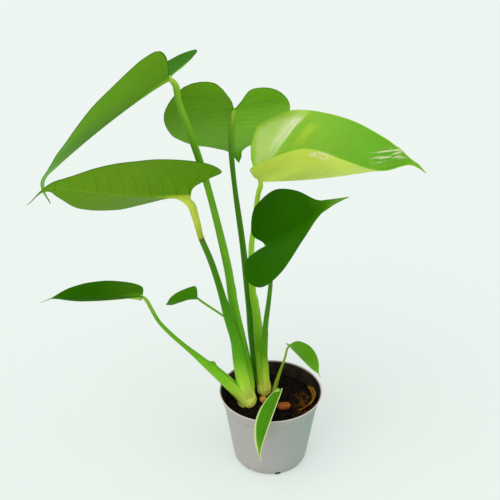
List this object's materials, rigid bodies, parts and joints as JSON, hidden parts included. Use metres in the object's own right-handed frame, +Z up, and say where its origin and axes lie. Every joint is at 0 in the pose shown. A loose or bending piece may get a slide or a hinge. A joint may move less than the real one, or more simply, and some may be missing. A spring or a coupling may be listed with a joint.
{
  "type": "potted swiss cheese plant",
  "caption": "Young swiss cheese plant with heart-shaped juvenile leaves on long upright stalks, growing in a small round nursery pot filled with soil.",
  "frame": {"origin": "centre of the underside of the pot's base", "axes": "+Z up along the pot's axis; -Y towards the front of the plant, +X to its right seen from the front"},
  "size_m": [0.3005, 0.2145, 0.3933],
  "materials": {
    "pot_plastic": "thin moulded pot, silver-grey outside, satin",
    "potting_mix": "loose dark peat and bark mix, matt",
    "crown_tissue": "pale yellow-green stem base, satin",
    "bark_orange": "chip of bark, orange-brown, matt",
    "bark_tan": "chip of bark, tan, matt",
    "bark_brown": "curled strip of bark, brown, matt",
    "petiole_green": "leaf stalk, green with a paler base, satin",
    "leaf_mid_green": "leaf blade, mid green, waxy satin",
    "leaf_deep_green": "leaf blade, deep green, glossy upper face",
    "leaf_variegated": "leaf blade, light green with cream patches, satin",
    "leaf_young": "young leaf blade, fresh green, paler margin"
  },
  "bodies": {
    "root": {"nursery_pot": "pot_plastic", "potting_soil": "potting_mix", "crown_left": "crown_tissue", "crown_middle": "crown_tissue", "crown_seedling": "crown_tissue", "bark_chip": "bark_orange", "bark_stub": "bark_tan", "bark_strip": "bark_brown", "leaf_1_petiole": "petiole_green", "leaf_2_petiole": "petiole_green", "leaf_3_petiole": "petiole_green", "leaf_4_petiole": "petiole_green", "leaf_5_petiole": "petiole_green", "leaf_6_petiole": "petiole_green", "leaf_7_petiole": "petiole_green", "leaf_8_petiole": "petiole_green", "leaf_9_petiole": "petiole_green", "leaf_1_blade": "leaf_mid_green", "leaf_2_blade": "leaf_mid_green", "leaf_3_blade": "leaf_mid_green", "leaf_4_blade": "leaf_variegated", "leaf_5_blade": "leaf_deep_green", "leaf_6_blade": "leaf_deep_green", "leaf_7_blade": "leaf_young", "leaf_8_blade": "leaf_young", "leaf_9_blade": "leaf_young"}
  },
  "joints": []
}
